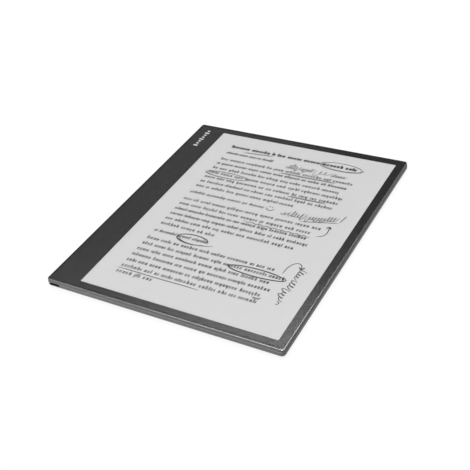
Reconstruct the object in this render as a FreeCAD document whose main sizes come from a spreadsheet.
"""Ten-inch electronic paper notebook: a slim slab with one wide side border, built as it comes apart.

The front is a glass over a printed border, a touch film, a light guide, an electronic paper panel and a
pen digitizer, all lying in the well of a metal mid frame. The frame's chamfered lip shows round the glass.
A rear housing closes the back and holds the battery, and the circuit board stands under the wide border.
A key on the top edge presses a switch.

Frame: X across the screen, Y up the page, Z out of the screen. The origin is on the surface that the
rubber feet stand on, under the middle of the housing. Millimetres.
"""

import FreeCAD
import Part

import math
import os

import Sketcher

Vector = FreeCAD.Vector

# Driving dimensions: name, value, what it is.
DIMENSIONS = [
    ("body_width", 191.0, "housing, across the screen"),
    ("body_length", 225.4, "housing, up the page"),
    ("total_height", 7.0, "feet to glass"),
    ("body_corner", 3.0, "radius of the housing's corners in plan"),
    ("foot_proud", 0.25, "how far the feet stand out of the back"),
    ("rim", 0.95, "glass edge to housing edge"),
    ("glass_gap", 0.08, "slit between glass and lip"),
    ("lip_inset", 0.35, "frame's lip inside the housing edge"),
    ("lip_corner", 2.2, "radius of the lip's corners in plan"),
    ("lip_chamfer", 0.35, "bevel along the frame's top edge"),
    ("glass_thick", 0.7, "cover glass"),
    ("glass_bevel", 0.12, "ground edge of the glass"),
    ("window_width", 157.8, "clear window across"),
    ("window_length", 210.2, "clear window up the page"),
    ("window_rise", 0.6, "middle of the window above the middle of the housing, up the page"),
    ("side_border", 6.85, "printed border on the narrow side"),
    ("print_thick", 0.05, "printed border film"),
    ("print_inset", 0.1, "film edge inside the glass edge"),
    ("tape_thick", 0.25, "foam bonding tape"),
    ("tape_inset", 0.3, "tape edge inside the glass edge"),
    ("ledge_reach", 3.6, "housing edge to the well of the frame"),
    ("well_corner", 1.5, "radius of the well's corners"),
    ("touch_thick", 0.2, "touch film"),
    ("touch_inset", 0.2, "touch film edge inside the well"),
    ("guide_thick", 0.5, "front light guide"),
    ("panel_thick", 0.8, "electronic paper panel"),
    ("panel_margin", 3.0, "panel edge beyond the window"),
    ("digitizer_thick", 0.35, "pen digitizer board"),
    ("web_thick", 0.5, "floor of the frame's well"),
    ("parting_z", 5.6, "underside of the frame's lip"),
    ("parting_gap", 0.25, "shadow line between lip and housing"),
    ("skirt_inset", 1.35, "frame's skirt inside the housing edge"),
    ("wall_thick", 1.2, "housing wall"),
    ("floor_thick", 0.8, "housing floor"),
    ("edge_round", 2.5, "round along the housing's back edge"),
    ("shoulder_round", 0.7, "round along the top of the housing's walls"),
    ("cavity_round", 1.0, "round along the foot of the housing's walls"),
    ("foot_radius", 5.0, "rubber foot"),
    ("foot_sink", 0.35, "depth of a foot's seat"),
    ("foot_play", 0.1, "slack round a foot in its seat"),
    ("foot_edge", 0.12, "bevel on a foot"),
    ("foot_x", 79.0, "feet from the middle, across"),
    ("foot_y", 96.0, "feet from the middle, up the page"),
    ("led_depth", 1.8, "light bar, along the foot of the guide"),
    ("led_pitch", 12.0, "lamps along the light bar"),
    ("led_width", 3.0, "lamp"),
    ("led_deep", 0.8, "lamp, front to back"),
    ("flex_thick", 0.12, "flexible circuits"),
    ("bay_left", 3.9, "housing edge to the board bay"),
    ("bay_width", 15.8, "board bay under the wide border"),
    ("bay_foot", -108.4, "lower end of the bay"),
    ("bay_length", 213.4, "board bay"),
    ("screw_right", 87.5, "frame screws on the narrow side"),
    ("screw_left", -73.2, "frame screws beside the board bay"),
    ("screw_rows", 50.0, "pitch of the frame screws up the page"),
    ("screw_end", 104.4, "frame screws at the head and foot"),
    ("screw_head", 1.45, "frame screw head, radius"),
    ("screw_head_thick", 0.45, "frame screw head"),
    ("screw_sink", 0.47, "depth of a frame screw's seat"),
    ("screw_shank", 0.75, "frame screw shank, radius"),
    ("screw_tip", 1.7, "height of a frame screw's tip"),
    ("screw_play", 0.06, "slack round a screw's shank"),
    ("pad_radius", 2.5, "frame's pad round a screw"),
    ("pad_foot", 3.0, "height where the pads meet the posts"),
    ("post_radius", 2.2, "housing post under a pad"),
    ("board_width", 14.2, "circuit board"),
    ("board_length", 203.0, "circuit board"),
    ("board_x", -83.4, "middle of the board"),
    ("board_y", -7.5, "middle of the board"),
    ("board_under", 2.6, "height of the board's underside"),
    ("board_thick", 0.6, "circuit board"),
    ("board_screw_x", -78.6, "board screws"),
    ("board_screw_first", -96.0, "lowest board screw"),
    ("board_screw_pitch", 61.0, "board screws up the page"),
    ("board_screw_head", 1.3, "board screw head, radius"),
    ("board_screw_head_thick", 0.5, "board screw head"),
    ("board_screw_shank", 0.6, "board screw shank, radius"),
    ("board_post", 1.7, "housing post under the board, radius"),
    ("socket_x", -88.4, "middle of the charging socket"),
    ("socket_z", 3.1, "height of the charging socket"),
    ("socket_width", 8.94, "socket shell, outside"),
    ("socket_height", 3.16, "socket shell, outside"),
    ("socket_wall", 0.3, "socket shell"),
    ("socket_deep", 7.4, "socket shell, front to back"),
    ("socket_sink", 0.45, "socket mouth inside the housing edge"),
    ("socket_play", 0.12, "slit between socket shell and housing"),
    ("tongue_width", 6.7, "contact tongue"),
    ("tongue_thick", 0.7, "contact tongue"),
    ("tongue_length", 4.4, "contact tongue"),
    ("tongue_base", 2.0, "block behind the tongue"),
    ("key_x", -82.0, "middle of the power key"),
    ("key_z", 3.9, "height of the power key"),
    ("key_width", 13.0, "power key"),
    ("key_height", 2.0, "power key"),
    ("key_play", 0.1, "slit round the power key"),
    ("key_proud", 0.3, "how far the key stands out"),
    ("key_bevel", 0.2, "bevel on the key"),
    ("key_travel", 0.35, "key stroke"),
    ("key_gap", 0.1, "key flange behind the wall"),
    ("flange_width", 14.6, "key flange"),
    ("flange_height", 3.0, "key flange"),
    ("flange_thick", 0.5, "key flange"),
    ("switch_width", 4.6, "switch case"),
    ("switch_height", 2.4, "switch case"),
    ("switch_deep", 2.3, "switch case, front to back"),
    ("plunger_width", 1.6, "switch plunger"),
    ("plunger_height", 0.9, "switch plunger"),
    ("plunger_out", 0.78, "plunger standing out of its case"),
    ("plunger_in", 0.9, "plunger inside its case"),
    ("plunger_play", 0.05, "slack round the plunger"),
    ("plunger_gap", 0.02, "slit between plunger and key"),
    ("key_board_thick", 0.4, "key circuit board"),
    ("bracket_thick", 0.4, "key bracket"),
    ("bracket_width", 9.4, "key bracket"),
    ("bracket_foot", 4.5, "key bracket's foot"),
    ("battery_x", -16.0, "middle of the battery"),
    ("battery_width", 84.0, "battery"),
    ("battery_length", 128.0, "battery"),
    ("battery_thick", 2.5, "battery"),
    ("battery_round", 1.0, "round along the battery's long edges"),
    ("battery_tape_thick", 0.12, "adhesive under the battery"),
    ("magnet_x", 91.9, "pen magnets"),
    ("magnet_pitch", 40.0, "pen magnets up the page"),
]

doc = FreeCAD.newDocument("paper_notebook")
sheet = doc.addObject("Spreadsheet::Sheet", "dims")
for row, (alias, size, note) in enumerate(DIMENSIONS, start=1):
    sheet.set(f"A{row}", note)
    sheet.set(f"B{row}", str(size))
    sheet.setAlias(f"B{row}", alias)
gauge = doc.addObject("App::FeaturePython", "gauge")
gauge.addProperty("App::PropertyFloat", "Reading")
doc.recompute()

# Heights and places that follow from the sheet, as FreeCAD expressions.
HOUSING_BACK = "dims.foot_proud"
GLASS_UNDER = "(dims.total_height - dims.glass_thick)"
PRINT_UNDER = f"({GLASS_UNDER} - dims.print_thick)"
LEDGE_TOP = f"({PRINT_UNDER} - dims.tape_thick)"
TOUCH_UNDER = f"({PRINT_UNDER} - dims.touch_thick)"
GUIDE_UNDER = f"({TOUCH_UNDER} - dims.guide_thick)"
PANEL_UNDER = f"({GUIDE_UNDER} - dims.panel_thick)"
WEB_TOP = f"({PANEL_UNDER} - dims.digitizer_thick)"
WEB_UNDER = f"({WEB_TOP} - dims.web_thick)"
CAVITY_FLOOR = "(dims.foot_proud + dims.floor_thick)"
HOUSING_TOP = "(dims.parting_z - dims.parting_gap)"
BOARD_TOP = "(dims.board_under + dims.board_thick)"
WINDOW_X = "(dims.body_width / 2 - dims.rim - dims.side_border - dims.window_width / 2)"
PANEL_WIDTH = "(dims.window_width + 2 * dims.panel_margin)"
PANEL_LENGTH = "(dims.window_length + 2 * dims.panel_margin)"
PANEL_LEFT = f"({WINDOW_X} - {PANEL_WIDTH} / 2)"
PANEL_FOOT = f"(dims.window_rise - {PANEL_LENGTH} / 2)"
WALL_INSIDE = "(dims.body_length / 2 - dims.wall_thick)"
FLANGE_BACK = f"({WALL_INSIDE} - dims.key_gap - dims.flange_thick)"
SWITCH_FACE = f"({FLANGE_BACK} - dims.plunger_gap - dims.plunger_out)"
KEY_BOARD_FACE = f"({SWITCH_FACE} - dims.switch_deep)"
BRACKET_FACE = f"({KEY_BOARD_FACE} - dims.key_board_thick)"
BATTERY_UNDER = f"({CAVITY_FLOOR} + dims.battery_tape_thick)"
SOCKET_MOUTH = "(-dims.body_length / 2 + dims.socket_sink)"

QUARTER = math.pi / 2
ORIGIN_POINT = (-1, 1)  # Sketcher's name for a sketch's own origin
START, END, CENTRE = 1, 2, 3


def value(expression):
    """The number that an expression on the sheet comes to."""
    gauge.setExpression("Reading", expression)
    gauge.recompute()
    return gauge.Reading


def bind(thing, **properties):
    """Ties properties of an object to expressions; a double underscore stands for a dot."""
    for name, expression in properties.items():
        thing.setExpression(name.replace("__", "."), expression)
    return thing


def new_body(label):
    """An empty PartDesign body for one sub-part."""
    body = doc.addObject("PartDesign::Body", "body_" + label)
    body.Label = label
    return body


def new_sketch(body, height="0", plane="XY_Plane"):
    """A sketch on one of the body's own planes, moved along that plane's normal."""
    sketch = body.newObject("Sketcher::SketchObject", "outline")
    found = [f for f in body.Origin.OriginFeatures if f.Role == plane]
    sketch.AttachmentSupport = (found[0], [""])
    sketch.MapMode = "FlatFace"
    sketch.setExpression("AttachmentOffset.Base.z", height)
    return sketch


def fix(sketch, kind, *terms):
    """Adds a sizing constraint whose last term is an expression."""
    *places, expression = terms
    index = sketch.addConstraint(Sketcher.Constraint(kind, *places, value(expression)))
    sketch.setExpression(f"Constraints[{index}]", expression)


def rectangle(sketch, width, length, x="0", y="0", corner=None):
    """A closed rectangle about (x, y), with round corners if a corner radius is given."""
    wide, long, mid_x, mid_y = (value(e) for e in (width, length, x, y))
    radius = value(corner) if corner else 0.0
    left, right = mid_x - wide / 2, mid_x + wide / 2
    foot, head = mid_y - long / 2, mid_y + long / 2
    corners = [(right, foot, -1, 1), (right, head, -1, -1), (left, head, 1, -1), (left, foot, 1, 1)]
    ends = [
        ((left + radius, foot), (right - radius, foot)),
        ((right, foot + radius), (right, head - radius)),
        ((right - radius, head), (left + radius, head)),
        ((left, head - radius), (left, foot + radius)),
    ]
    shapes = []
    for index, ((ax, ay), (bx, by)) in enumerate(ends):
        shapes.append(Part.LineSegment(Vector(ax, ay, 0), Vector(bx, by, 0)))
        if radius:
            corner_x, corner_y, in_x, in_y = corners[index]
            middle = Vector(corner_x + in_x * radius, corner_y + in_y * radius, 0)
            circle = Part.Circle(middle, Vector(0, 0, 1), radius)
            shapes.append(Part.ArcOfCircle(circle, (index - 1) * QUARTER, index * QUARTER))
    first = sketch.GeometryCount
    sketch.addGeometry(shapes, False)
    count = len(shapes)
    joint = "Tangent" if radius else "Coincident"
    for index in range(count):
        follower = first + (index + 1) % count
        sketch.addConstraint(Sketcher.Constraint(joint, first + index, END, follower, START))
    bottom, right_side, top, left_side = range(first, first + count, count // 4)
    for line in (bottom, top):
        sketch.addConstraint(Sketcher.Constraint("Horizontal", line))
    for line in (right_side, left_side):
        sketch.addConstraint(Sketcher.Constraint("Vertical", line))
    if radius:
        for arc in (first + 3, first + 5, first + 7):
            sketch.addConstraint(Sketcher.Constraint("Equal", first + 1, arc))
        fix(sketch, "Radius", first + 1, corner)
    fix(sketch, "DistanceX", left_side, START, right_side, START, width)
    fix(sketch, "DistanceY", bottom, START, top, START, length)
    fix(sketch, "DistanceX", *ORIGIN_POINT, left_side, START, f"{x} - ({width}) / 2")
    fix(sketch, "DistanceY", *ORIGIN_POINT, bottom, START, f"{y} - ({length}) / 2")


def stadium(sketch, width, height, x="0", y="0"):
    """A closed slot about (x, y), lying along the sketch's first axis, with half-round ends."""
    wide, high, mid_x, mid_y = (value(e) for e in (width, height, x, y))
    radius = high / 2
    reach = wide / 2 - radius
    normal = Vector(0, 0, 1)
    left, right = Vector(mid_x - reach, mid_y, 0), Vector(mid_x + reach, mid_y, 0)
    rise = Vector(0, radius, 0)
    first = sketch.GeometryCount
    sketch.addGeometry(
        [
            Part.LineSegment(left - rise, right - rise),
            Part.ArcOfCircle(Part.Circle(right, normal, radius), -QUARTER, QUARTER),
            Part.LineSegment(right + rise, left + rise),
            Part.ArcOfCircle(Part.Circle(left, normal, radius), QUARTER, 3 * QUARTER),
        ],
        False,
    )
    for index in range(4):
        follower = first + (index + 1) % 4
        sketch.addConstraint(Sketcher.Constraint("Tangent", first + index, END, follower, START))
    sketch.addConstraint(Sketcher.Constraint("Horizontal", first))
    sketch.addConstraint(Sketcher.Constraint("Equal", first + 1, first + 3))
    fix(sketch, "Radius", first + 1, f"({height}) / 2")
    fix(sketch, "DistanceX", *ORIGIN_POINT, first + 1, CENTRE, f"{x} + ({width}) / 2 - ({height}) / 2")
    fix(sketch, "DistanceX", *ORIGIN_POINT, first + 3, CENTRE, f"{x} - ({width}) / 2 + ({height}) / 2")
    fix(sketch, "DistanceY", *ORIGIN_POINT, first + 1, CENTRE, y)


def circles(sketch, radius, places):
    """One circle at each (x, y) pair of expressions."""
    for x, y in places:
        middle = Vector(value(x), value(y), 0)
        circle = sketch.addGeometry(Part.Circle(middle, Vector(0, 0, 1), value(radius)), False)
        fix(sketch, "Radius", circle, radius)
        fix(sketch, "DistanceX", *ORIGIN_POINT, circle, CENTRE, x)
        fix(sketch, "DistanceY", *ORIGIN_POINT, circle, CENTRE, y)


def pad(body, sketch, length, back=False):
    """Raises a sketch along its normal, or against it."""
    feature = body.newObject("PartDesign::Pad", "pad")
    feature.Profile = sketch
    feature.Reversed = back
    bind(feature, Length=length)
    doc.recompute()
    return feature


def pocket(body, sketch, depth, along=False):
    """Cuts a sketch's outline into the body, against the sketch's normal unless along is set."""
    before = body.Shape.Volume
    feature = body.newObject("PartDesign::Pocket", "pocket")
    feature.Profile = sketch
    feature.Reversed = along
    bind(feature, Length=depth)
    doc.recompute()
    if not body.Shape.Volume < before - 1e-6:
        raise RuntimeError(f"{body.Label}: a pocket cuts nothing")
    return feature


def level_edges(feature, height, outline_only=True):
    """Names of the edges that lie flat at a height. outline_only keeps those round the outside."""
    box = feature.Shape.BoundBox
    names = []
    for index, edge in enumerate(feature.Shape.Edges, start=1):
        flat = abs(edge.BoundBox.ZMin - height) < 1e-5 and abs(edge.BoundBox.ZMax - height) < 1e-5
        middle = edge.valueAt((edge.FirstParameter + edge.LastParameter) / 2)
        margin = min(
            middle.x - box.XMin, box.XMax - middle.x, middle.y - box.YMin, box.YMax - middle.y
        )
        near = margin < value("dims.rim")
        if flat and (near or not outline_only):
            names.append(f"Edge{index}")
    return names


def bevel(body, feature, names, size, kind="Chamfer"):
    """Chamfers or fillets named edges of a feature."""
    dressed = body.newObject(f"PartDesign::{kind}", kind.lower())
    dressed.Base = (feature, names)
    bind(dressed, **{"Size" if kind == "Chamfer" else "Radius": size})
    doc.recompute()
    return dressed


def plate(label, width, length, under, thick, x="0", y="0", corner=None):
    """A flat sheet about (x, y) with its underside at a height."""
    body = new_body(label)
    sketch = new_sketch(body, under)
    rectangle(sketch, width, length, x, y, corner)
    pad(body, sketch, thick)
    return body


def block(label, width, length, height, x, y, z):
    """A Part box by its middle in X and Y and its underside in Z."""
    box = doc.addObject("Part::Box", "block_" + label)
    box.Label = label
    return bind(
        box,
        Length=width,
        Width=length,
        Height=height,
        Placement__Base__x=f"{x} - ({width}) / 2",
        Placement__Base__y=f"{y} - ({length}) / 2",
        Placement__Base__z=z,
    )


def cylinder(label, radius, height, x, y, z):
    """An upright Part cylinder."""
    round_bar = doc.addObject("Part::Cylinder", "round_" + label)
    round_bar.Label = label
    return bind(
        round_bar,
        Radius=radius,
        Height=height,
        Placement__Base__x=x,
        Placement__Base__y=y,
        Placement__Base__z=z,
    )


def boolean(label, kind, base, tool):
    """A Part::Cut or Part::Fuse of two objects."""
    joined = doc.addObject(f"Part::{kind}", kind.lower() + "_" + label)
    joined.Label = label
    joined.Base = base
    joined.Tool = tool
    return joined


def group(label, members):
    """Separate solids that share one node."""
    compound = doc.addObject("Part::Compound", "group_" + label)
    compound.Label = label
    compound.Links = members
    return compound


def fold(label, points, width, turn, middle):
    """A flexible circuit: a thin strip bent along points in a plane and given a width across it.

    points are (along, up) pairs; turn is the direction of along in plan, in degrees from X; middle is the
    strip's own place (x, y) in plan that along is counted from. Each bend is rounded.
    """
    thick = value("dims.flex_thick")
    legs = [math.dist(first, second) for first, second in zip(points, points[1:])]
    bend = min(3 * thick, 0.4 * min(legs))
    edges = []
    start = Vector(points[0][0], 0, points[0][1])
    for before, corner, after in zip(points, points[1:], points[2:]):
        knee = Vector(corner[0], 0, corner[1])
        back = (Vector(before[0], 0, before[1]) - knee).normalize()
        onward = (Vector(after[0], 0, after[1]) - knee).normalize()
        half = back.getAngle(onward) / 2
        trim = bend / math.tan(half)
        enter, leave = knee + back * trim, knee + onward * trim
        bisector = (back + onward).normalize()
        summit = knee + bisector * (bend / math.sin(half) - bend)
        edges.append(Part.LineSegment(start, enter).toShape())
        edges.append(Part.Arc(enter, summit, leave).toShape())
        start = leave
    edges.append(Part.LineSegment(start, Vector(points[-1][0], 0, points[-1][1])).toShape())
    first_x, first_z = points[0]
    across, up = width / 2, thick / 2
    end_face = Part.makePolygon([
        Vector(first_x, side * across, first_z + top * up)
        for side, top in ((-1, -1), (1, -1), (1, 1), (-1, 1), (-1, -1))
    ])
    flex = doc.addObject("Part::Feature", "flex_" + label)
    flex.Label = label
    flex.Shape = Part.Wire(edges).makePipeShell([end_face], True, False)
    flex.Placement = FreeCAD.Placement(
        Vector(middle[0], middle[1], 0), FreeCAD.Rotation(Vector(0, 0, 1), turn)
    )
    return flex


# ---------------------------------------------------------------- the front, from the glass down

GLASS_WIDTH = "(dims.body_width - 2 * dims.rim)"
GLASS_LENGTH = "(dims.body_length - 2 * dims.rim)"
GLASS_CORNER = "(dims.lip_corner + dims.lip_inset - dims.rim)"
WELL_WIDTH = "(dims.body_width - 2 * dims.ledge_reach)"
WELL_LENGTH = "(dims.body_length - 2 * dims.ledge_reach)"


def inset(size, margin):
    """A size less the same margin at both ends."""
    return f"({size} - 2 * {margin})"


def cover_glass():
    """The one hard face of the front, ground to a small bevel all round."""
    body = new_body("cover_glass")
    sketch = new_sketch(body, GLASS_UNDER)
    rectangle(sketch, GLASS_WIDTH, GLASS_LENGTH, corner=GLASS_CORNER)
    sheet_glass = pad(body, sketch, "dims.glass_thick")
    names = level_edges(sheet_glass, value("dims.total_height"))
    bevel(body, sheet_glass, names, "dims.glass_bevel")
    return body


def border_print():
    """The opaque printed film behind the glass, with the screen's sharp-cornered window in it."""
    inset_width = inset(GLASS_WIDTH, "dims.print_inset")
    inset_length = inset(GLASS_LENGTH, "dims.print_inset")
    body = plate("border_print", inset_width, inset_length, PRINT_UNDER, "dims.print_thick",
                 corner=f"({GLASS_CORNER} - dims.print_inset)")
    window = new_sketch(body, GLASS_UNDER)
    rectangle(window, "dims.window_width", "dims.window_length", x=WINDOW_X, y="dims.window_rise")
    pocket(body, window, "2 * dims.print_thick")
    return body


def bond_tape():
    """The ring of foam tape that holds the glass down on the frame's ledge."""
    body = plate("bond_tape", inset(GLASS_WIDTH, "dims.tape_inset"), inset(GLASS_LENGTH, "dims.tape_inset"),
                 LEDGE_TOP, "dims.tape_thick", corner=f"({GLASS_CORNER} - dims.tape_inset)")
    hole = new_sketch(body, PRINT_UNDER)
    rectangle(hole, WELL_WIDTH, WELL_LENGTH, corner="dims.well_corner")
    pocket(body, hole, "2 * dims.tape_thick")
    return body


def front_sheets():
    """The flat sheets that fill the well: touch film, light guide, panel and pen digitizer."""
    guide_length = f"({PANEL_LENGTH} - dims.led_depth)"
    return [
        plate("touch_film", inset(WELL_WIDTH, "dims.touch_inset"), inset(WELL_LENGTH, "dims.touch_inset"),
              TOUCH_UNDER, "dims.touch_thick", corner="dims.well_corner"),
        plate("light_guide", PANEL_WIDTH, guide_length, GUIDE_UNDER, "dims.guide_thick",
              x=WINDOW_X, y="dims.window_rise + dims.led_depth / 2"),
        plate("epaper_panel", PANEL_WIDTH, PANEL_LENGTH, PANEL_UNDER, "dims.panel_thick",
              x=WINDOW_X, y="dims.window_rise"),
        plate("digitizer_board", PANEL_WIDTH, PANEL_LENGTH, WEB_TOP, "dims.digitizer_thick",
              x=WINDOW_X, y="dims.window_rise"),
    ]


def light_bar():
    """A strip along the foot of the light guide with a row of small lamps that shine into its edge."""
    strip_y = f"({PANEL_FOOT} + dims.led_depth / 2)"
    lamp_y = f"({PANEL_FOOT} + dims.led_depth - dims.led_deep / 2)"
    lamp_high = "(dims.guide_thick - dims.flex_thick)"
    strip = block("lamp_strip", f"{PANEL_WIDTH} - 4", "dims.led_depth", "dims.flex_thick",
                  WINDOW_X, strip_y, GUIDE_UNDER)
    lamps = []
    for place in range(-6, 7):
        lamps.append(block(f"lamp_{place + 7}", "dims.led_width", "dims.led_deep", lamp_high,
                           f"{WINDOW_X} + {place} * dims.led_pitch", lamp_y,
                           f"{GUIDE_UNDER} + dims.flex_thick"))
    return group("light_bar", [strip, *lamps])


# ---------------------------------------------------------------- the two metal shells

FRAME_SCREWS = [(side, f"{step} * dims.screw_rows")
                for side in ("dims.screw_left", "dims.screw_right") for step in range(-2, 3)]
FRAME_SCREWS += [(WINDOW_X, "dims.screw_end"), (WINDOW_X, "-dims.screw_end")]
BOARD_SCREWS = [("dims.board_screw_x", f"dims.board_screw_first + {step} * dims.board_screw_pitch")
                for step in range(4)]
FEET = [(f"{side} * dims.foot_x", f"{end} * dims.foot_y") for side in (-1, 1) for end in (-1, 1)]
BAY_X = "(-dims.body_width / 2 + dims.bay_left + dims.bay_width / 2)"
BAY_Y = "(dims.bay_foot + dims.bay_length / 2)"


def mid_frame():
    """The frame with the bevelled lip that shows round the glass, the well for the screen and the skirt
    that drops inside the housing."""
    body = new_body("mid_frame")
    lip_outline = new_sketch(body, "dims.parting_z")
    rectangle(lip_outline, inset("dims.body_width", "dims.lip_inset"),
              inset("dims.body_length", "dims.lip_inset"), corner="dims.lip_corner")
    lip = pad(body, lip_outline, "dims.total_height - dims.parting_z")
    names = level_edges(lip, value("dims.total_height"))
    bevel(body, lip, names, "dims.lip_chamfer")
    skirt_outline = new_sketch(body, WEB_UNDER)
    rectangle(skirt_outline, inset("dims.body_width", "dims.skirt_inset"),
              inset("dims.body_length", "dims.skirt_inset"), corner="dims.body_corner - dims.skirt_inset")
    pad(body, skirt_outline, f"dims.parting_z - {WEB_UNDER}")
    glass_seat = new_sketch(body, "dims.total_height")
    rectangle(glass_seat, f"{GLASS_WIDTH} + 2 * dims.glass_gap", f"{GLASS_LENGTH} + 2 * dims.glass_gap",
              corner=f"{GLASS_CORNER} + dims.glass_gap")
    pocket(body, glass_seat, f"dims.total_height - {LEDGE_TOP}")
    well = new_sketch(body, LEDGE_TOP)
    rectangle(well, WELL_WIDTH, WELL_LENGTH, corner="dims.well_corner")
    pocket(body, well, f"{LEDGE_TOP} - {WEB_TOP}")
    bay = new_sketch(body, WEB_TOP)
    rectangle(bay, "dims.bay_width", "dims.bay_length", x=BAY_X, y=BAY_Y, corner="dims.well_corner")
    pocket(body, bay, "dims.web_thick")
    clear_socket = new_sketch(body, "dims.socket_z + dims.socket_height / 2 + dims.socket_play")
    rectangle(clear_socket, "dims.socket_width + 2 * dims.socket_play",
              "2 * (dims.socket_deep + dims.socket_play)", x="dims.socket_x", y=SOCKET_MOUTH)
    pocket(body, clear_socket, "dims.body_length / 2")
    clear_key = new_sketch(body, "dims.parting_z")
    rectangle(clear_key, "dims.flange_width + 1.4", "3 * dims.ledge_reach",
              x="dims.key_x", y="dims.body_length / 2 - dims.ledge_reach")
    pocket(body, clear_key, "dims.parting_z")
    pads = new_sketch(body, WEB_UNDER)
    circles(pads, "dims.pad_radius", FRAME_SCREWS)
    pad(body, pads, f"{WEB_UNDER} - dims.pad_foot", back=True)
    seats = new_sketch(body, WEB_TOP)
    circles(seats, "dims.screw_head + dims.screw_play", FRAME_SCREWS)
    pocket(body, seats, "dims.screw_sink")
    holes = new_sketch(body, WEB_TOP)
    circles(holes, "dims.screw_shank + dims.screw_play", FRAME_SCREWS)
    pocket(body, holes, f"{WEB_TOP} - dims.pad_foot + 0.1")
    return body


def rear_housing():
    """The back shell: rounded back edge, posts for the screws, seats for the feet and two openings."""
    body = new_body("rear_housing")
    outline = new_sketch(body, HOUSING_BACK)
    rectangle(outline, "dims.body_width", "dims.body_length", corner="dims.body_corner")
    slab = pad(body, outline, f"{HOUSING_TOP} - {HOUSING_BACK}")
    rounded = bevel(body, slab, level_edges(slab, value(HOUSING_BACK)), "dims.edge_round", "Fillet")
    bevel(body, rounded, level_edges(rounded, value(HOUSING_TOP)), "dims.shoulder_round", "Fillet")
    cavity = new_sketch(body, HOUSING_TOP)
    rectangle(cavity, inset("dims.body_width", "dims.wall_thick"), inset("dims.body_length", "dims.wall_thick"),
              corner="dims.body_corner - dims.wall_thick")
    hollow = pocket(body, cavity, f"{HOUSING_TOP} - {CAVITY_FLOOR}")
    floor_edges = level_edges(hollow, value(CAVITY_FLOOR), outline_only=False)
    bevel(body, hollow, floor_edges, "dims.cavity_round", "Fillet")
    posts = new_sketch(body, CAVITY_FLOOR)
    circles(posts, "dims.post_radius", FRAME_SCREWS)
    pad(body, posts, f"dims.pad_foot - {CAVITY_FLOOR}")
    board_posts = new_sketch(body, CAVITY_FLOOR)
    circles(board_posts, "dims.board_post", BOARD_SCREWS)
    pad(body, board_posts, f"dims.board_under - {CAVITY_FLOOR}")
    threads = new_sketch(body, "dims.pad_foot")
    circles(threads, "dims.screw_shank + dims.screw_play", FRAME_SCREWS)
    pocket(body, threads, "dims.pad_foot - dims.screw_tip + 0.1")
    board_threads = new_sketch(body, "dims.board_under")
    circles(board_threads, "dims.board_screw_shank + dims.screw_play", BOARD_SCREWS)
    pocket(body, board_threads, "dims.board_under - dims.screw_tip + 0.1")
    seats = new_sketch(body, HOUSING_BACK)
    circles(seats, "dims.foot_radius + dims.foot_play", FEET)
    pocket(body, seats, "dims.foot_sink", along=True)
    mouth = new_sketch(body, "dims.body_length / 2 + 1", "XZ_Plane")
    stadium(mouth, "dims.socket_width + 2 * dims.socket_play", "dims.socket_height + 2 * dims.socket_play",
            x="dims.socket_x", y="dims.socket_z")
    pocket(body, mouth, "dims.wall_thick + 2")
    key_hole = new_sketch(body, "-dims.body_length / 2 - 1", "XZ_Plane")
    stadium(key_hole, "dims.key_width + 2 * dims.key_play", "dims.key_height + 2 * dims.key_play",
            x="dims.key_x", y="dims.key_z")
    pocket(body, key_hole, "dims.wall_thick + 2", along=True)
    return body


def screws(label, places, head, head_thick, shank, head_z, tip_z):
    """One pan-head screw at each place, with a cross recess, as separate solids in one node."""
    made = []
    for number, (x, y) in enumerate(places, start=1):
        name = f"{label}_{number}"
        top = cylinder(name + "_head", head, head_thick, x, y, head_z)
        stem = cylinder(name + "_shank", shank, f"{head_z} - {tip_z}", x, y, tip_z)
        blank = boolean(name + "_blank", "Fuse", top, stem)
        recess_z = f"{head_z} + {head_thick} / 2"
        arms = [
            block(f"{name}_slot_{turn}", along, across, head_thick, x, y, recess_z)
            for turn, (along, across) in enumerate(((head, f"{head} / 4"), (f"{head} / 4", head)))
        ]
        cross = boolean(name + "_cross", "Fuse", *arms)
        made.append(boolean(name, "Cut", blank, cross))
    return group(label, made)


def rubber_feet():
    """Four round feet in shallow seats in the back."""
    made = []
    for number, (x, y) in enumerate(FEET, start=1):
        disc = cylinder(f"foot_{number}_blank", "dims.foot_radius",
                        "dims.foot_proud + dims.foot_sink", x, y, "0")
        doc.recompute()
        bevelled = doc.addObject("Part::Chamfer", f"foot_{number}")
        bevelled.Base = disc
        edge = 1 + [abs(e.BoundBox.ZMax) < 1e-6 for e in disc.Shape.Edges].index(True)
        size = value("dims.foot_edge")
        bevelled.Edges = [(edge, size, size)]
        made.append(bevelled)
    return group("rubber_feet", made)


# ---------------------------------------------------------------- circuit board and what is on it


def main_board():
    """The long narrow board under the wide border, notched at its foot for the charging socket."""
    body = plate("main_board", "dims.board_width", "dims.board_length", "dims.board_under",
                 "dims.board_thick", x="dims.board_x", y="dims.board_y", corner="0.8")
    notch = new_sketch(body, BOARD_TOP)
    rectangle(notch, "dims.socket_width", "2 * dims.socket_deep", x="dims.socket_x", y=SOCKET_MOUTH)
    pocket(body, notch, "dims.board_thick")
    holes = new_sketch(body, BOARD_TOP)
    circles(holes, "dims.board_screw_shank + 3 * dims.screw_play", BOARD_SCREWS)
    pocket(body, holes, "dims.board_thick")
    return body


def processor_shield():
    """A pressed tin lid over the processor and the memory, open underneath."""
    body = plate("processor_shield", "11.6", "34", BOARD_TOP, "1.5", x="dims.board_x - 0.6", y="-14",
                 corner="0.8")
    inside = new_sketch(body, BOARD_TOP)
    rectangle(inside, "11.2", "33.6", x="dims.board_x - 0.6", y="-14", corner="0.6")
    pocket(body, inside, "1.3", along=True)
    return body


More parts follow.
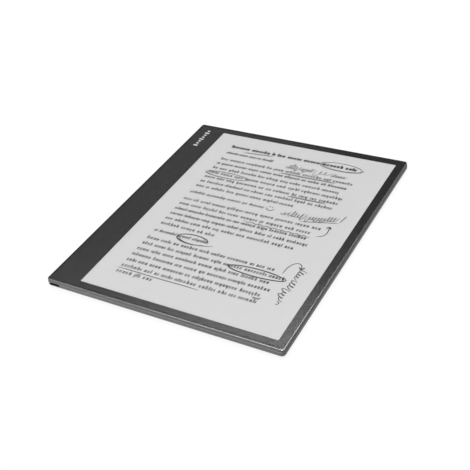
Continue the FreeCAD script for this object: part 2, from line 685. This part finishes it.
def board_parts():
    """The chips, modules and connectors on the board, as boxes of their package sizes."""
    chip_rows = [("power_chip", 7.0, 7.0, 1.0, -45.0), ("screen_power_chip", 6.0, 6.0, 0.9, 17.0),
                 ("pen_chip", 6.0, 6.0, 0.9, 41.0), ("touch_chip", 5.0, 5.0, 0.8, 52.0),
                 ("crystal", 3.2, 2.5, 0.8, 60.0), ("coil", 4.0, 4.0, 1.2, 66.0),
                 ("lid_sensor", 2.0, 1.6, 0.7, 74.0)]
    chips = [block(name, str(wide), str(long), str(high), "dims.board_x - 2", str(y), BOARD_TOP)
             for name, wide, long, high, y in chip_rows]
    sockets = [block("screen_connector", "3.2", "24", "0.9", "dims.board_x + 4.6", "60", BOARD_TOP),
               block("touch_connector", "3.2", "12", "0.9", "dims.board_x - 5.2", "28", BOARD_TOP),
               block("pen_connector", "3.2", "12", "0.9", "dims.board_x + 4.6", "40", BOARD_TOP),
               block("key_connector", "4", "2.4", "0.9", "dims.key_x - 5.6", "91.5", BOARD_TOP),
               block("battery_connector", "3.2", "8", "0.7", "dims.board_x + 4.2", "72",
                     "dims.board_under - 0.7")]
    return [
        block("processor_chip", "9.6", "12", "0.9", "dims.board_x - 0.6", "-22", BOARD_TOP),
        block("memory_chip", "9.6", "11", "0.8", "dims.board_x - 0.6", "-6", BOARD_TOP),
        block("wireless_module", "10", "12", "1.6", "dims.board_x - 1", "-60", BOARD_TOP),
        group("board_chips", chips),
        group("flex_connectors", sockets),
    ]


def antenna_parts():
    """A plastic block on the board with the aerial foil on its top face, close behind the glass."""
    carrier = plate("antenna_carrier", "8", "30", BOARD_TOP, "2.1", x="dims.board_x - 2.4", y="-86",
                    corner="0.8")
    foil = plate("antenna_foil", "6.4", "28", f"{BOARD_TOP} + 2.1", "0.1", x="dims.board_x - 2.4", y="-86",
                 corner="0.4")
    return [carrier, foil]


def charging_socket():
    """The oval steel shell of the charging socket and the contact tongue that stands in it."""
    shell = new_body("socket_shell")
    outline = new_sketch(shell, f"-{SOCKET_MOUTH}", "XZ_Plane")
    stadium(outline, "dims.socket_width", "dims.socket_height", x="dims.socket_x", y="dims.socket_z")
    pad(shell, outline, "dims.socket_deep", back=True)
    bore = new_sketch(shell, f"-{SOCKET_MOUTH}", "XZ_Plane")
    stadium(bore, inset("dims.socket_width", "dims.socket_wall"), inset("dims.socket_height", "dims.socket_wall"),
            x="dims.socket_x", y="dims.socket_z")
    pocket(shell, bore, "dims.socket_deep + 1")
    tongue = new_body("socket_tongue")
    back_end = f"(-({SOCKET_MOUTH}) - dims.socket_deep)"
    base = new_sketch(tongue, back_end, "XZ_Plane")
    stadium(base, f"{inset('dims.socket_width', 'dims.socket_wall')} - 0.02",
            f"{inset('dims.socket_height', 'dims.socket_wall')} - 0.02", x="dims.socket_x", y="dims.socket_z")
    pad(tongue, base, "dims.tongue_base")
    blade = new_sketch(tongue, f"{back_end} + dims.tongue_base", "XZ_Plane")
    rectangle(blade, "dims.tongue_width", "dims.tongue_thick", x="dims.socket_x", y="dims.socket_z",
              corner="0.2")
    pad(tongue, blade, "dims.tongue_length")
    return [shell, tongue]


# ---------------------------------------------------------------- power key


def power_button():
    """The key: an oval cap that stands a little out of the top edge, on a flange that keeps it in."""
    body = new_body("power_button")
    flange = new_sketch(body, f"-{FLANGE_BACK}", "XZ_Plane")
    rectangle(flange, "dims.flange_width", "dims.flange_height", x="dims.key_x", y="dims.key_z",
              corner="dims.key_bevel")
    pad(body, flange, "dims.flange_thick", back=True)
    cap = new_sketch(body, f"-{FLANGE_BACK} - dims.flange_thick", "XZ_Plane")
    stadium(cap, "dims.key_width", "dims.key_height", x="dims.key_x", y="dims.key_z")
    stem = pad(body, cap, "dims.key_gap + dims.wall_thick + dims.key_proud", back=True)
    face = value("dims.body_length / 2 + dims.key_proud")
    names = [f"Edge{index}" for index, edge in enumerate(stem.Shape.Edges, start=1)
             if abs(edge.BoundBox.YMin - face) < 1e-5]
    bevel(body, stem, names, "dims.key_bevel", "Fillet")
    return body


def switch_parts():
    """The switch behind the key: its case with a well, the plunger, the board it is soldered to and the
    bracket that backs them."""
    case = new_body("switch_case")
    case_outline = new_sketch(case, f"-{KEY_BOARD_FACE}", "XZ_Plane")
    rectangle(case_outline, "dims.switch_width", "dims.switch_height", x="dims.key_x", y="dims.key_z")
    pad(case, case_outline, "dims.switch_deep", back=True)
    well = new_sketch(case, f"-{SWITCH_FACE}", "XZ_Plane")
    rectangle(well, "dims.plunger_width + 2 * dims.plunger_play",
              "dims.plunger_height + 2 * dims.plunger_play", x="dims.key_x", y="dims.key_z")
    pocket(case, well, "dims.plunger_in + dims.key_travel + 0.2", along=True)
    plunger = block("switch_plunger", "dims.plunger_width", "dims.plunger_in + dims.plunger_out",
                    "dims.plunger_height", "dims.key_x",
                    f"{SWITCH_FACE} + (dims.plunger_out - dims.plunger_in) / 2",
                    "dims.key_z - dims.plunger_height / 2")
    board = block("key_board", "dims.flange_width - 0.6", "dims.key_board_thick", "3.2", "dims.key_x",
                  f"{KEY_BOARD_FACE} - dims.key_board_thick / 2", "dims.key_z - 1.6")
    upright = block("bracket_upright", "dims.bracket_width", "dims.bracket_thick",
                    f"5.2 - {CAVITY_FLOOR}", "dims.key_x + 1", f"{BRACKET_FACE} - dims.bracket_thick / 2",
                    CAVITY_FLOOR)
    foot = block("bracket_foot", "dims.bracket_width", "dims.bracket_foot", "dims.bracket_thick",
                 "dims.key_x + 1", f"{BRACKET_FACE} - dims.bracket_thick - dims.bracket_foot / 2",
                 CAVITY_FLOOR)
    return [case, plunger, board, boolean("key_bracket", "Fuse", upright, foot)]


# ---------------------------------------------------------------- battery, cables and magnets


def battery_parts():
    """The pouch cell, its protection circuit and the two strips of tape that hold it to the floor."""
    blank = block("battery_blank", "dims.battery_width", "dims.battery_length", "dims.battery_thick",
                  "dims.battery_x", "0", BATTERY_UNDER)
    doc.recompute()
    cell = doc.addObject("Part::Fillet", "battery_cell")
    cell.Base = blank
    radius = value("dims.battery_round")
    long_edges = [index for index, edge in enumerate(blank.Shape.Edges, start=1)
                  if edge.BoundBox.YLength > 100]
    cell.Edges = [(index, radius, radius) for index in long_edges]
    cell_end = "(dims.battery_length / 2)"
    circuit = block("battery_circuit", "46", "4.2", "1.1", "dims.battery_x - 12", f"{cell_end} + 2.1",
                    f"{BATTERY_UNDER} + 0.5")
    tapes = [block(f"battery_tape_{number}", "16", "104", "dims.battery_tape_thick",
                   f"dims.battery_x + {side} * 24", "0", CAVITY_FLOOR)
             for number, side in enumerate((-1, 1), start=1)]
    return [cell, circuit, group("battery_tapes", tapes)]


def magnets():
    """Bar magnets behind the narrow side, where a pen is parked."""
    bars = [block(f"magnet_{step + 1}", "2.2", "12", "2.2", "dims.magnet_x",
                  f"({step} - 1.5) * dims.magnet_pitch", CAVITY_FLOOR) for step in range(4)]
    return group("pen_magnets", bars)


def flexes():
    """The flexible circuits between the front, the switch, the battery and the board."""
    half = value("dims.flex_thick") / 2
    board_top = value(BOARD_TOP) + 0.9 + half
    board_x = value("dims.board_x")
    panel_x = value(PANEL_LEFT)
    panel_z = value(PANEL_UNDER) + value("dims.panel_thick") / 2
    pen_z = value(WEB_TOP) + value("dims.digitizer_thick") / 2
    touch_z = value(TOUCH_UNDER) - half
    cell_end = value("dims.battery_length / 2")
    cell_left = value("dims.battery_x") - 35
    lead_z = value("dims.board_under") - 0.7 - half
    circuit_z = value(BATTERY_UNDER) + 0.5 - half
    return [
        fold("display_flex", [(0, panel_z), (-3.6, panel_z), (-3.6, board_top), (-7.2, board_top)],
             22, 0, (panel_x, 60)),
        fold("digitizer_flex", [(0, pen_z), (-3.6, pen_z), (-4.2, board_top), (-7.2, board_top)],
             10, 0, (panel_x, 40)),
        fold("touch_flex", [(2, touch_z), (5.8, touch_z), (5.8, board_top), (0, board_top)],
             10, 0, (board_x - 6.8, 28)),
        fold("battery_flex", [(0, circuit_z), (-18, circuit_z), (-19, lead_z), (-30.4, lead_z)],
             6, 0, (cell_left + 1.4, cell_end + 4.1)),
        fold("key_flex", [(0, 4.9), (-4, 4.9), (-5.4, board_top), (-17, board_top)],
             3, 90, (value("dims.key_x") - 5.6, value(BRACKET_FACE))),
    ]


SUBPARTS = [
    cover_glass(),
    border_print(),
    bond_tape(),
    *front_sheets(),
    light_bar(),
    mid_frame(),
    rear_housing(),
    rubber_feet(),
    screws("frame_screws", FRAME_SCREWS, "dims.screw_head", "dims.screw_head_thick", "dims.screw_shank",
           f"({WEB_TOP} - dims.screw_sink)", "dims.screw_tip"),
    screws("board_screws", BOARD_SCREWS, "dims.board_screw_head", "dims.board_screw_head_thick",
           "dims.board_screw_shank", BOARD_TOP, "dims.screw_tip"),
    main_board(),
    processor_shield(),
    *board_parts(),
    *antenna_parts(),
    *charging_socket(),
    power_button(),
    *switch_parts(),
    *battery_parts(),
    magnets(),
    *flexes(),
]


def check_and_write():
    """Recomputes everything, stops on a failed object or a bad shape, and writes one file a sub-part."""
    doc.recompute()
    for thing in doc.Objects:
        if {"Invalid", "Error"} & set(thing.State):
            raise RuntimeError(f"{thing.Label} failed: {thing.State}")
    os.makedirs("parts", exist_ok=True)
    for part in SUBPARTS:
        if part.Shape.isNull() or not part.Shape.isValid() or not part.Shape.Solids:
            raise RuntimeError(f"{part.Label} has a bad shape")
        part.Shape.exportStep(os.path.join("parts", part.Label + ".step"))
        print(f"{part.Label}: {len(part.Shape.Solids)} solid(s), {part.Shape.Volume:.1f} mm3")


check_and_write()
